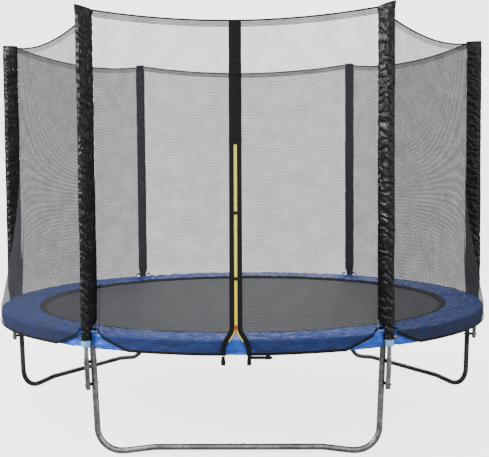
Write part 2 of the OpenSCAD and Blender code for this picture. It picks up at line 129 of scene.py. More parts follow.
# ---------------------------------------------------------------- material helpers
class Shade:
    """A material's nodes, with short names for the ones used here."""

    def __init__(self, name, color, rough, metal=0.0, spec=0.5):
        self.mat = bpy.data.materials.new(name)
        self.mat.use_nodes = True
        self.tree = self.mat.node_tree
        self.tree.nodes.clear()
        out = self.node("ShaderNodeOutputMaterial")
        self.bsdf = self.node("ShaderNodeBsdfPrincipled")
        self.bsdf.inputs["Base Color"].default_value = (*color, 1)
        self.bsdf.inputs["Roughness"].default_value = rough
        self.bsdf.inputs["Metallic"].default_value = metal
        self.bsdf.inputs["Specular IOR Level"].default_value = spec
        self.link(self.bsdf.outputs[0], out.inputs[0])
        self.mat.diffuse_color = (*color, 1)

    def node(self, kind, **values):
        n = self.tree.nodes.new(kind)
        for key, value in values.items():
            setattr(n, key, value)
        return n

    def link(self, a, b):
        self.tree.links.new(a, b)

    def put(self, socket, value):
        if hasattr(value, "is_output"):
            self.link(value, socket)
        else:
            socket.default_value = value

    def place(self, scale=(1, 1, 1), uv=False):
        """Object coordinates are metres in the object's own frame; UV is metres along the cloth."""
        coord = self.node("ShaderNodeTexCoord")
        mapping = self.node("ShaderNodeMapping")
        mapping.inputs["Scale"].default_value = scale
        self.link(coord.outputs["UV" if uv else "Object"], mapping.inputs[0])
        return mapping.outputs[0]

    def noise(self, where, scale, detail=3.0, rough=0.5):
        n = self.node("ShaderNodeTexNoise")
        self.link(where, n.inputs["Vector"])
        n.inputs["Scale"].default_value = scale
        n.inputs["Detail"].default_value = detail
        n.inputs["Roughness"].default_value = rough
        return n.outputs["Fac"]

    def wave(self, where, scale, axis, distort=0.0):
        n = self.node("ShaderNodeTexWave", bands_direction=axis)
        self.link(where, n.inputs["Vector"])
        n.inputs["Scale"].default_value = scale
        n.inputs["Distortion"].default_value = distort
        return n.outputs["Fac"]

    def math(self, op, a, b):
        n = self.node("ShaderNodeMath", operation=op)
        self.put(n.inputs[0], a)
        self.put(n.inputs[1], b)
        return n.outputs[0]

    def span(self, value, low, high, from_low, from_high):
        n = self.node("ShaderNodeMapRange")
        self.put(n.inputs["Value"], value)
        n.inputs["From Min"].default_value = from_low
        n.inputs["From Max"].default_value = from_high
        n.inputs["To Min"].default_value = low
        n.inputs["To Max"].default_value = high
        return n.outputs[0]

    def blend(self, fac, a, b):
        n = self.node("ShaderNodeMix", data_type="RGBA")
        self.put(n.inputs[0], fac)
        n.inputs[6].default_value = (*a, 1)
        n.inputs[7].default_value = (*b, 1)
        return n.outputs[2]

    def bump(self, height, strength, distance):
        n = self.node("ShaderNodeBump")
        self.put(n.inputs["Height"], height)
        n.inputs["Strength"].default_value = strength
        n.inputs["Distance"].default_value = distance
        self.link(n.outputs[0], self.bsdf.inputs["Normal"])

    def color(self, value):
        self.put(self.bsdf.inputs["Base Color"], value)

    def rough(self, value):
        self.put(self.bsdf.inputs["Roughness"], value)


def steel(name, dark, light, rough=(0.28, 0.5)):
    """Galvanised tube: soft spangle, streaks and a slight change of gloss."""
    s = Shade(name, light, 0.4, metal=1.0)
    where = s.place()
    spangle = s.noise(where, 55, 4, 0.6)
    cloud = s.noise(where, 6, 3)
    mix = s.math("MULTIPLY", spangle, s.span(cloud, 0.6, 1.4, 0.3, 0.7))
    s.color(s.blend(s.span(mix, 0, 1, 0.25, 0.75), dark, light))
    s.rough(s.span(spangle, *rough, 0.3, 0.7))
    s.bump(s.noise(where, 240, 2), 0.12, 0.0006)
    return s.mat


def webbing(name, color, light):
    """Woven tape: fine ribs across it and a warp along it, from the UVs."""
    s = Shade(name, color, 0.72, spec=0.15)
    where = s.place(uv=True)
    ribs = s.wave(where, 95, "Y")
    warp = s.wave(where, 160, "X")
    s.color(s.blend(s.noise(where, 40, 3), color, light))
    s.bump(s.math("ADD", ribs, s.math("MULTIPLY", warp, 0.5)), 0.35, 0.0006)
    s.bsdf.inputs["Sheen Weight"].default_value = 0.03
    return s.mat


def make_materials():
    m = {}
    m["galvanised_steel"] = steel("galvanised steel", (0.17, 0.175, 0.18), (0.46, 0.465, 0.47))
    m["side_steel"] = steel("galvanised steel in shade", (0.03, 0.032, 0.035), (0.15, 0.155, 0.16))
    m["pole_steel"] = steel("pole steel", (0.30, 0.305, 0.31), (0.52, 0.52, 0.515))
    m["zinc_steel"] = steel("zinc plated steel", (0.36, 0.37, 0.38), (0.62, 0.63, 0.64), (0.2, 0.35))

    s = Shade("blue foam", (0.20, 0.48, 0.83), 0.85, spec=0.25)
    where = s.place()
    s.color(s.blend(s.noise(where, 260, 2), (0.15, 0.42, 0.80), (0.30, 0.58, 0.90)))
    s.bump(s.noise(where, 700, 2), 0.35, 0.0012)
    m["foam"] = s.mat

    s = Shade("black sleeve fabric", (0.008, 0.008, 0.009), 0.34, spec=0.26)
    where = s.place()
    crease = s.noise(s.place((1, 1, 0.45)), 24, 5, 0.62)
    s.rough(s.span(crease, 0.26, 0.50, 0.3, 0.7))
    s.color(s.blend(s.noise(where, 20, 3), (0.005, 0.005, 0.006), (0.013, 0.013, 0.015)))
    slant = s.wave(where, 13, "DIAGONAL", 9.0)
    s.bump(s.math("ADD", crease, s.math("MULTIPLY", slant, 0.5)), 0.75, 0.009)
    m["sleeve_fabric"] = s.mat

    m["net"] = net_material()
    m["net_side"] = net_material("net at the sides", 0.48, 0.94)
    m["net_band"] = net_material("net doubled at its hem", 0.72, 0.97)
    m["black_webbing"] = webbing("black webbing", (0.003, 0.003, 0.0035), (0.010, 0.010, 0.011))

    s = Shade("yellow zip", (0.80, 0.66, 0.02), 0.5, spec=0.3)
    where = s.place(uv=True)
    teeth = s.wave(where, 110, "Y")
    s.color(s.blend(teeth, (0.86, 0.66, 0.002), (1.0, 0.86, 0.006)))
    s.bump(teeth, 0.5, 0.001)
    m["zip_yellow"] = s.mat

    s = Shade("red slider", (0.42, 0.02, 0.02), 0.3, metal=0.25)
    where = s.place()
    s.color(s.blend(s.noise(where, 300, 3), (0.32, 0.012, 0.012), (0.55, 0.04, 0.035)))
    s.bump(s.noise(where, 900, 2), 0.15, 0.0004)
    m["slider_red"] = s.mat

    s = Shade("black plastic", (0.005, 0.005, 0.006), 0.4, spec=0.22)
    where = s.place()
    s.color(s.blend(s.noise(where, 90, 3), (0.004, 0.004, 0.005), (0.010, 0.010, 0.011)))
    s.bump(s.noise(where, 1500, 2), 0.2, 0.0003)
    m["black_plastic"] = s.mat

    s = Shade("blue coated pad cover", (0.024, 0.112, 0.58), 0.42, spec=0.45)
    where = s.place()
    tone = s.noise(where, 9, 4, 0.6)
    s.color(s.blend(s.span(tone, 0, 1, 0.3, 0.7), (0.020, 0.086, 0.48), (0.034, 0.142, 0.70)))
    s.rough(s.span(tone, 0.32, 0.46, 0.3, 0.7))
    weave = s.math("ADD", s.wave(where, 260, "X"), s.wave(where, 260, "Y"))
    wrinkle = s.noise(where, 13, 4, 0.55)
    s.bump(s.math("ADD", s.math("MULTIPLY", weave, 0.01), wrinkle), 0.7, 0.020)
    m["pad_vinyl"] = s.mat

    s = Shade("jumping mat", (0.112, 0.114, 0.124), 0.6, spec=0.2)
    where = s.place()
    weave = s.math("ADD", s.wave(where, 330, "X"), s.wave(where, 330, "Y"))
    tone = s.noise(s.place((0.3, 4.0, 1)), 6, 4)
    s.color(s.blend(s.span(tone, 0, 1, 0.3, 0.7), (0.096, 0.098, 0.107), (0.128, 0.130, 0.141)))
    s.bump(weave, 0.12, 0.0004)
    s.bsdf.inputs["Sheen Weight"].default_value = 0.05
    m["mat_fabric"] = s.mat
    return m


def net_material(name="net", thin=0.33, thick=0.74):
    """A knitted mesh as a part-clear film: `thin` is its cover between threads, `thick` along them."""
    s = Shade(name, (0.030, 0.031, 0.035), 0.8, spec=0.05)
    where = s.place(uv=True)
    across = s.wave(where, 42, "Y", 2.0)
    along = s.wave(where, 38, "X", 2.0)
    thread = s.math("MAXIMUM", across, s.math("MULTIPLY", along, 0.8))
    cloud = s.noise(where, 9, 4, 0.6)
    alpha = s.math("ADD", s.span(thread, thin, thick, 0.3, 1.0), s.span(cloud, -0.04, 0.04, 0.3, 0.7))
    s.link(alpha, s.bsdf.inputs["Alpha"])
    s.color(s.blend(cloud, (0.024, 0.025, 0.029), (0.038, 0.039, 0.044)))
    return s.mat


# ---------------------------------------------------------------- mesh helpers
class Build:
    """Collects grids of quads, each with a material number and UVs in metres."""

    def __init__(self):
        self.verts, self.faces, self.mats, self.uvs = [], [], [], []
        self.count = 0

    def grid(self, points, wrap_u=False, wrap_v=False, mat=0, flip=False, uv=None):
        """A sheet of quads; `mat` is a number or a function of the quad's row and column."""
        points = np.asarray(points, float)
        nu, nv = points.shape[:2]
        if uv is None:
            du = np.linalg.norm(np.diff(points, axis=0), axis=2).mean(axis=1)
            dv = np.linalg.norm(np.diff(points, axis=1), axis=2).mean(axis=0)
            us = np.concatenate([[0], np.cumsum(du)])
            vs = np.concatenate([[0], np.cumsum(dv)])
            us = np.append(us, us[-1] + du.mean())
            vs = np.append(vs, vs[-1] + dv.mean())
        else:
            us, vs = uv
        base = self.count
        self.verts.append(points.reshape(-1, 3))
        self.count += nu * nv
        for i in range(nu if wrap_u else nu - 1):
            for j in range(nv if wrap_v else nv - 1):
                i2, j2 = (i + 1) % nu, (j + 1) % nv
                quad = [(i, j), (i2, j), (i2, j2), (i, j2)]
                near, far = us[i], us[i + 1]
                coords = [(near, vs[j]), (far, vs[j]), (far, vs[j + 1]), (near, vs[j + 1])]
                if flip:
                    quad.reverse()
                    coords.reverse()
                self.faces.append([base + a * nv + b for a, b in quad])
                self.uvs.append(coords)
                self.mats.append(mat if not callable(mat) else mat(i, j))

    def fan(self, loop, mat=0, flip=False):
        """Closes a loop of points with triangles round its middle."""
        loop = np.asarray(loop, float)
        base = self.count
        self.verts.append(np.vstack([loop, loop.mean(axis=0)]))
        n = len(loop)
        self.count += n + 1
        for i in range(n):
            tri = [base + i, base + (i + 1) % n, base + n]
            if flip:
                tri.reverse()
            self.faces.append(tri)
            self.uvs.append([(0, 0), (0.01, 0), (0.005, 0.01)])
            self.mats.append(mat)

    def make(self, name, materials):
        mesh = bpy.data.meshes.new(name)
        mesh.from_pydata(np.vstack(self.verts).tolist(), [], self.faces)
        layer = mesh.uv_layers.new(name="UVMap")
        layer.data.foreach_set("uv", np.array([c for face in self.uvs for c in face], float).ravel())
        for material in materials:
            mesh.materials.append(material)
        mesh.polygons.foreach_set("material_index", self.mats)
        mesh.polygons.foreach_set("use_smooth", [True] * len(self.faces))
        mesh.validate()
        mesh.update()
        obj = bpy.data.objects.new(name, mesh)
        bpy.context.scene.collection.objects.link(obj)
        return obj

    def tube(self, path, radius, sides=8, closed=False, mat=0):
        """A round tube along a path, with end caps where it is open."""
        path = np.asarray(path, float)
        if closed:
            ahead = np.roll(path, -1, axis=0) - np.roll(path, 1, axis=0)
        else:
            ahead = np.gradient(path, axis=0)
        ahead /= np.linalg.norm(ahead, axis=1)[:, None]
        side = np.cross(ahead, UP)
        side[np.linalg.norm(side, axis=1) < 1e-3] = (1, 0, 0)
        side /= np.linalg.norm(side, axis=1)[:, None]
        up = np.cross(side, ahead)
        a = np.arange(sides) * TAU / sides
        ring = (
            path[:, None, :]
            + side[:, None, :] * (radius * np.cos(a))[None, :, None]
            + up[:, None, :] * (radius * np.sin(a))[None, :, None]
        )
        self.grid(ring, wrap_u=closed, wrap_v=True, mat=mat)
        if not closed:
            self.fan(ring[0], mat)
            self.fan(ring[-1], mat, flip=True)

    def ribbon(self, path, across, front, width, thick, mat=0, lift=0.0):
        """A flat tape with rounded edges: path down its middle, unit vectors across it and to its front."""
        path, across, front = (np.asarray(x, float) for x in (path, across, front))
        width = np.broadcast_to(width, len(path))
        half = width[:, None] / 2
        outline = [(-1, 0), (-1, 0.5), (-0.94, 1), (-0.5, 1), (0, 1), (0.5, 1), (0.94, 1),
                   (1, 0.5), (1, 0), (1, -0.5), (0.94, -1), (0, -1), (-0.94, -1), (-1, -0.5)]
        ring = np.stack(
            [path + across * half * x + front * (lift + thick / 2 * y) for x, y in outline], axis=1
        )
        us = [0]
        for i in range(1, len(path)):
            us.append(us[-1] + float(np.linalg.norm(path[i] - path[i - 1])))
        mean = float(width.mean()) / 2
        vs = [mean * x for x, _ in outline] + [-mean]
        self.grid(ring, wrap_v=True, mat=mat, uv=(us, vs))
        self.fan(ring[0], mat)
        self.fan(ring[-1], mat, flip=True)


def unit(v):
    v = np.asarray(v, float)
    return v / np.linalg.norm(v, axis=-1, keepdims=True)


def ease(t):
    """A soft step from 0 to 1."""
    t = np.clip(t, 0, 1)
    return t * t * (3 - 2 * t)


def wobble(points, scale, seed=0.0):
    """Smooth noise from -1 to 1 at each point."""
    flat = np.asarray(points, float).reshape(-1, 3) * scale + seed
    values = np.array([noise.noise(Vector(p)) for p in flat])
    return values.reshape(np.asarray(points).shape[:-1])


def rough_noise(points, scale, seed=0.0, octaves=3):
    """The same with finer and weaker layers on top."""
    total = 0
    for k in range(octaves):
        total = total + wobble(points, scale * 2**k, seed + 7.3 * k) / 2**k
    return total


# ---------------------------------------------------------------- places taken from the CAD frame
def centre_xy(node):
    low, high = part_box(node)
    return np.array([(low[0] + high[0]) / 2, (low[1] + high[1]) / 2])


def turned(v, degrees):
    c, s = math.cos(math.radians(degrees)), math.sin(math.radians(degrees))
    return np.array([v[0] * c - v[1] * s, v[0] * s + v[1] * c])


AXES = [centre_xy("foam_" + name) for name in POLES]
# each sleeve points from its pole to the middle; the front two are turned towards the doorway
TURNS = [24, 0, 0, 0, 0, -24]
SLEEVE_DIRS = [turned(-unit(p), t) for p, t in zip(AXES, TURNS)]
SEAM = 0.0646  # from a pole's axis to the line where the net is sewn to its sleeve
NET_EDGES = [p + d * SEAM for p, d in zip(AXES, SLEEVE_DIRS)]

PAD_LOW, PAD_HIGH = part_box("pad")
PAD_R = PAD_HIGH[0]
PAD_INNER = 1.268  # radius of the pad's hole
MAT_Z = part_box("mat")[1][2] - 0.0004
MAT_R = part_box("mat")[1][0]
NET_R = PAD_R + 0.005  # the net hangs just outside the pad
EDGE_Z = PAD_HIGH[2] + 0.007  # where the net bends over the pad's outer edge
HEM_Z = PAD_LOW[2] - 0.001
NET_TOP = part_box("sleeve_left")[1][2] - 0.018
SAG = 0.060  # of the net's top edge between two poles
SLIDER_Z = 0.692  # the zip is closed from here up to ZIP_TOP
ZIP_TOP = 1.612
BODY_ROWS, HEM_ROWS = 52, 6
CLEAR = 0.0018  # share of a panel left clear beside each pole


def angle_of(p):
    """Angle round the trampoline, from the doorway."""
    return math.atan2(p[0], -p[1])


def span_angle(a, b):
    """Angle that the panel from pole a to pole b covers."""
    d = angle_of(NET_EDGES[b]) - angle_of(NET_EDGES[a])
    return d + TAU if d < -math.pi else d


def net_rows(a, b, u):
    """Grid of points of the net from pole a to pole b: rows run from the hem to the top edge."""
    span = span_angle(a, b)
    run = np.minimum(u, 1 - u) * span * NET_R
    near = np.where(u < 0.5, np.linalg.norm(NET_EDGES[a]), np.linalg.norm(NET_EDGES[b]))
    # a side panel has to pass behind a front pole's sleeve before it swings out
    beside_door = (a, b) == FRONT
    behind = [0.035 if pole in FRONT and not beside_door else 0.005 for pole in (a, b)]
    past = run - np.where(u < 0.5, behind[0], behind[1])
    # from its seam the net swings out to its own radius
    radius = near + (NET_R - near) * ease(past / 0.045)
    angle = angle_of(NET_EDGES[a]) + span * u
    outward = np.stack([np.sin(angle), -np.cos(angle), 0 * angle], axis=1)
    edge = outward * radius[:, None]
    edge[:, 2] = EDGE_Z
    # the hem ends high beside a sleeve and slopes down to the skirt's foot
    hem = edge.copy()
    hem[:, 2] = np.interp(past, [0.046, 0.064, 0.215], [EDGE_Z - 0.001, 0.622, HEM_Z])
    top = np.zeros_like(edge)
    top[:, :2] = NET_EDGES[a] + (NET_EDGES[b] - NET_EDGES[a]) * u[:, None]
    top[:, 2] = NET_TOP - SAG * 4 * u * (1 - u)
    low = np.linspace(0, 1, HEM_ROWS + 1)[:-1]
    high = np.linspace(0, 1, BODY_ROWS + 1)
    body = edge[:, None] + (top - edge)[:, None] * high[None, :, None]
    if not beside_door:
        # the side and back panels curve out only towards the pad
        curve = 1 - (1 - high) ** 1.6
        body[..., :2] = edge[:, None, :2] + (top - edge)[:, None, :2] * curve[None, :, None]
    # beside a pole the net hugs the sleeve it is sewn to, and flares out only near its foot
    height = (NET_TOP - EDGE_Z) * high[None, :]
    hug = (1 - run[:, None] / (run[:, None] + 0.35 * height + 1e-6)) * np.exp(-run / 0.18)[:, None]
    flare = ((radius - near) * (run < 0.6))[:, None] * (1 - high)[None, :] * hug
    body = body - outward[:, None] * flare[..., None]
    points = np.concatenate([hem[:, None] + (edge - hem)[:, None] * low[None, :, None], body], axis=1)
    return points, outward, run


def net_folds(points, outward, run, seed):
    """Moves the slack net off its even surface: gathers by the poles, soft waves between them."""
    z = points[..., 2]
    run = run[:, None]
    height = (z - EDGE_Z) / (NET_TOP - EDGE_Z)
    gather = np.exp(-run / 0.10) * (0.4 + np.exp(-np.maximum(z - EDGE_Z, 0) / 0.35))
    phase = 2.2 * wobble(points, 3.0, seed)
    folds = 0.0035 * gather * np.sin(run * TAU / 0.034 + phase)
    slack = 0.010 * wobble(points * [1, 1, 0.6], 2.3, seed + 5) * np.clip(height * 4, 0, 1)
    ripple = 0.0016 * wobble(points * [1, 1, 3.0], 9.0, seed + 9) * np.clip(height * 6, 0, 1)
    fade = np.clip((1 - height) * 8, 0, 1) * np.clip(run / 0.01, 0, 1)
    off = (folds + slack + ripple) * fade
    off = np.where(z < EDGE_Z + 0.02, np.abs(off) * 0.4, off)
    return points + outward[:, None, :] * off[..., None]


# ---------------------------------------------------------------- pieces
def columns(count, last, turn):
    """Places of a net's columns from CLEAR to `last`, closer together near the first pole.

    With a `turn` of 1 they are closer together near the second pole as well.
    """
    rise = 1 - np.cos(np.pi * np.arange(count + 1) / count * turn)
    return CLEAR + (last - CLEAR) * rise / (1 - math.cos(math.pi * turn))


def net_cloth(name, points, outward, net, m, flip=False):
    """A net with its doubled top row and a tape along its hem."""
    build = Build()
    top_row = points.shape[1] - 2
    build.grid(points, mat=lambda i, j: 2 if j == top_row else 0, flip=flip)
    tape = points[:, 0] + outward * 0.0012 + UP * 0.006
    build.ribbon(tape, np.tile(UP, (len(tape), 1)), outward, 0.014, 0.0016, mat=1)
    return build.make(name + "_cloth", [net, m["black_webbing"], m["net_band"]])


def net_panel(name, a, b, seed, m):
    """A whole panel between poles a and b; returns its top edge."""
    points, outward, run = net_rows(a, b, columns(96, 1 - CLEAR, 1.0))
    points = net_folds(points, outward, run, seed)
    obj = net_cloth(name, points, outward, m["net" if name == "net_back" else "net_side"], m)
    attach(obj, "frame")
    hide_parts(name)
    return points[:, -1]


def door_spread(z):
    """How far each edge of the doorway has parted from the middle below the zip's slider."""
    heights = [HEM_Z, 0.590, 0.620, EDGE_Z, 0.676, SLIDER_Z]
    return np.interp(z, heights, [0.044, 0.043, 0.037, 0.022, 0.005, 0])


def net_front(side, m):
    """Half of the front panel, from its pole to the doorway's black edge, hem and flap in one cloth.

    Both halves are made as the left one and the right one is mirrored; returns the top edge.
    """
    word = "left" if side < 0 else "right"
    # the half ends 28 mm from the middle, under the black edge tape
    last = 0.5 - 0.028 / (2 * abs(NET_EDGES[5][0]))
    u = columns(78, last, 0.62)
    points, outward, run = net_rows(*FRONT, u)
    points = net_folds(points, outward, run, 31.0 if side < 0 else 47.0)
    z = points[..., 2]
    share = ease((u - 0.25) / (last - 0.25))[:, None]
    points[..., 0] -= door_spread(z) * share
    # below the pad's edge the cloth lies on the skirt's round face
    low = z < EDGE_Z + 1e-6
    r = np.maximum(NET_R, np.linalg.norm(points[..., :2], axis=2))
    y = -np.sqrt(np.maximum(r**2 - points[..., 0] ** 2, 0))
    points[..., 1] = np.where(low & (run[:, None] > 0.052), y, points[..., 1])
    if side > 0:
        points = points * [-1, 1, 1]
        outward = outward * [-1, 1, 1]
    obj = net_cloth("net_front_" + word, points, outward, m["net"], m, flip=side > 0)
    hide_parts("net_front_" + word, "door_net_" + word)
    fold_with_flap(obj)
    return points[:, -1]


def fold_with_flap(obj):
    """Bakes the piece's place into its mesh."""
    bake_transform(obj)


def centre_line(z):
    """Point on the front net in the middle of the doorway, at each height."""
    z = np.asarray(z, float)
    top = (NET_EDGES[5] + NET_EDGES[0]) / 2
    t = np.clip((z - EDGE_Z) / (NET_TOP - SAG - EDGE_Z), 0, 1)
    y = -NET_R + (top[1] + NET_R) * t
    return np.stack([0 * z, y, z], axis=-1)


# how far the front net leans back above the pad, and the way its face points
LEAN = math.atan2(NET_R + (NET_EDGES[5][1] + NET_EDGES[0][1]) / 2, NET_TOP - SAG - EDGE_Z)
STRIP_FRONT = np.array([0, -math.cos(LEAN), math.sin(LEAN)])


def top_strip(m):
    """The plain strip over the upper part of the doorway, with its stitching and one cross seam."""
    z = np.linspace(1.604, NET_TOP - SAG + 0.004, 120)
    front = np.tile(STRIP_FRONT, (len(z), 1))
    pucker = np.abs(wobble(np.stack([0 * z, 0 * z, z], axis=-1), 24.0, 3.0))[:, None]
    path = centre_line(z) + front * 0.004 * pucker
    across = np.tile([1.0, 0, 0], (len(z), 1))
    build = Build()
    build.ribbon(path, across, front, 0.064 + 0.003 * wobble(path, 9.0, 4.0), 0.0020, lift=0.0012)
    seam = centre_line(1.955) + STRIP_FRONT * 0.0058
    seam = seam + np.linspace(-0.0312, 0.0312, 7)[:, None] * [1.0, 0, 0]
    build.ribbon(seam, np.tile(UP, (7, 1)), front[:7], 0.005, 0.0016)
    for x in (-0.0285, 0.0285):
        build.ribbon(path + [x, 0, 0], across, front, 0.0016, 0.0010, lift=0.0024)
    obj = build.make("door_top_strip", [m["black_webbing"]])
    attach(obj, "frame")
    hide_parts("door_strip")


def door_tape(z, side, away, width, thick, lift):
    """A tape down one side of the doorway, `away` from its middle, and the lines its stitching follows."""
    front = np.where((z > EDGE_Z)[:, None], STRIP_FRONT, [0, -1.0, 0])
    middle = centre_line(z) + np.stack([side * (away + door_spread(z)), 0 * z, 0 * z], axis=1)
    across = unit(np.cross(unit(np.gradient(middle, axis=0)), front))
    build = Build()
    build.ribbon(middle, across, front, width, thick, lift=lift)
    return build, middle, across, front


def door_edges(m):
    """The black edge tapes and the two halves of the zip."""
    for side, word in ((-1, "left"), (1, "right")):
        z = np.concatenate([np.linspace(HEM_Z - 0.002, EDGE_Z, 14), np.linspace(EDGE_Z + 0.006, ZIP_TOP, 90)])
        build, middle, across, front = door_tape(z, side, 0.0198, 0.0244, 0.0024, 0.0012)
        for x in (-0.0098, 0.0098):
            build.ribbon(middle + across * x, across, front, 0.0014, 0.0010, lift=0.0026)
        obj = build.make("door_edge_tape_" + word, [m["black_webbing"]])
        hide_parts("door_edge_" + word)
        fold_with_flap(obj)

        z = np.concatenate([np.linspace(0.630, EDGE_Z, 6), np.linspace(EDGE_Z + 0.004, ZIP_TOP, 130)])
        build = door_tape(z, side, 0.0037, 0.0070, 0.0022, 0.0004)[0]
        obj = build.make("zip_tape_" + word, [m["zip_yellow"]])
        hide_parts("zip_" + word)
        fold_with_flap(obj)


def sleeve(k, m):
    """Loose black sleeve round a foam pole: round at its foot, a drop shape above, flat at its mouth."""
    name = POLES[k]
    at_front = k in FRONT
    low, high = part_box("sleeve_" + name)
    z0, z1 = low[2], high[2]
    turn = math.atan2(SLEEVE_DIRS[k][1], SLEEVE_DIRS[k][0])
    sides, rows = 64, 300
    z = np.linspace(z0, z1 - 0.002, rows)
    a = np.arange(sides) * TAU / sides
    # drop shape: a big circle round the foam and a small one, `reach` away, where the net is sewn on
    big, small, reach = 0.0250 if at_front else 0.0310, 0.0115, 0.0525
    lean = math.asin((big - small) / reach)
    drop = []
    for t in a:
        if abs((t + math.pi) % TAU - math.pi) < math.pi / 2 - lean:
            drop.append((reach + small * math.cos(t), small * math.sin(t)))
        else:
            drop.append((big * math.cos(t), big * math.sin(t)))
    drop = np.array(drop)
    ring = np.stack([np.cos(a), np.sin(a)], axis=1) * 0.0246
    long, short = (0.036, 0.028) if k in BACK else (0.050, 0.014)
    mouth = np.stack([long - 0.032 + long * np.cos(a), short * np.sin(a)], axis=1)
    above_pad = ease((z - (EDGE_Z + 0.002)) / 0.06)[:, None, None]
    above_foam = ease((z - (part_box("foam_" + name)[1][2] + 0.004)) / 0.050)[:, None, None]
    shape = ring[None] * (1 - above_pad) + drop[None] * above_pad
    shape = shape * (1 - above_foam) + mouth[None] * above_foam
    local = np.zeros((rows, sides, 3))
    local[..., 0] = shape[..., 0] * math.cos(turn) - shape[..., 1] * math.sin(turn)
    local[..., 1] = shape[..., 0] * math.sin(turn) + shape[..., 1] * math.cos(turn)
    tilt = 0.22 if at_front else 0.04
    local[..., 2] = z[:, None] - tilt * above_foam[..., 0] * shape[..., 0]
    where = local + [*AXES[k], 0]
    # creases: twisted ridges that run at a slant round the tube
    phi = np.arctan2(shape[..., 1], shape[..., 0] - 0.015)
    slant = np.stack([np.cos(phi) * 1.3, np.sin(phi) * 1.3, z[:, None] * 22 + np.sin(phi) * 2.4], axis=-1)
    crease = 1 - 2 * np.abs(rough_noise(slant, 1.4, 11.0 * k, 3))
    soft = rough_noise(slant * [1, 1, 0.2], 0.8, 3.1 + 5 * k, 2)
    out = local[..., :2] - (SLEEVE_DIRS[k] * 0.018)
    out = out / np.maximum(np.linalg.norm(out, axis=-1, keepdims=True), 1e-6)
    fade = np.clip((z - z0) / 0.02, 0.15, 1)[:, None]
    off = (0.0034 * crease + 0.0025 * soft - 0.0014) * fade
    # a tight sleeve can't sink into its foam
    off = np.clip(off, -0.0010 if at_front else -0.0040, 0.0048)
    where[..., :2] += out * off[..., None]
    build = Build()
    build.grid(where, wrap_v=True, flip=True)
    # inner side, so the open mouth shows a lining
    inner = where.copy()
    inner[..., :2] -= out * 0.0012
    build.grid(inner[-26:], wrap_v=True)
    # bound rim at the mouth and a hem at the foot
    build.tube(where[-1], 0.0022, 6, closed=True, mat=1)
    build.tube(where[0], 0.0012, 6, closed=True, mat=1)
    obj = build.make("sleeve_" + name + "_cover", [m["sleeve_fabric"], m["black_webbing"]])
    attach(obj, "frame")
    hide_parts("sleeve_" + name)


def foam(k, m):
    """A foam tube with rounded ends and its bore."""
    name = POLES[k]
    low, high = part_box("foam_" + name)
    z0, z1 = low[2], high[2]
    r, bore_r = (high[0] - low[0]) / 2, 0.0117
    z = np.concatenate([[z0], z0 + np.array([0.0, 0.001, 0.004, 0.01, 0.02, 0.04]),
                        np.linspace(z0 + 0.08, z1 - 0.004, 30), [z1 - 0.001, z1, z1]])
    radii = np.full(len(z), r)
    radii[:3] = bore_r, r - 0.003, r - 0.0012
    radii[-2:] = r - 0.003, bore_r
    a = np.arange(40) * TAU / 40
    points = np.zeros((len(z), 40, 3))
    points[..., 0] = AXES[k][0] + radii[:, None] * np.cos(a)
    points[..., 1] = AXES[k][1] + radii[:, None] * np.sin(a)
    points[..., 2] = z[:, None]
    dent = np.where(radii[:, None] < 0.012, 0, 0.0007 * wobble(points, 30, k * 3.0))
    points[..., 0] += dent * np.cos(a)
    points[..., 1] += dent * np.sin(a)
    build = Build()
    build.grid(points, wrap_v=True, flip=True)
    build.grid(points[[-1, 0]], wrap_v=True, flip=True)
    obj = build.make("foam_" + name + "_tube", [m["foam"]])
    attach(obj, "frame")
    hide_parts("foam_" + name)


def pad_outline():
    """The pad's section as radius, height and how much it wrinkles.

    It runs from the inner lip over the top, down to the skirt's foot and back underneath.
    """
    inner, outer = PAD_INNER, PAD_R
    top, skirt, base = PAD_HIGH[2], PAD_LOW[2], MAT_Z + 0.001
    shape = [(inner + 0.004, base + 0.0005, 0), (inner, base + 0.003, 0.2),
             (inner + 0.002, base + 0.0075, 0.4), (inner + 0.012, base + 0.0135, 0.8),
             (inner + 0.04, base + 0.0165, 1)]
    for t in np.linspace(0.0, 1.0, 15)[1:]:
        shape.append((inner + 0.04 + t * (outer - 0.022 - inner - 0.04), base + (0.0165 + 0.0055 * t), 1))
    shape += [(outer - 0.010, top - 0.001, 0.7), (outer - 0.003, top - 0.005, 0.4), (outer, top - 0.012, 0.4)]
    for t in np.linspace(0, 1, 9)[1:]:
        shape.append((outer, top - 0.012 - t * (top - 0.012 - skirt), 1.0))
    shape += [(outer - 0.0016, skirt, 1.0)]
    for t in np.linspace(0, 1, 5)[1:]:
        shape.append((outer - 0.0016, skirt + t * (base + 0.001 - skirt), 1.0))
    shape += [(outer - 0.004, base + 0.004, 0.0), (outer - 0.012, base + 0.0065, 0),
              (inner + 0.066, base + 0.0065, 0), (inner + 0.05, base + 0.001, 0)]
    return (np.array(values) for values in zip(*shape))


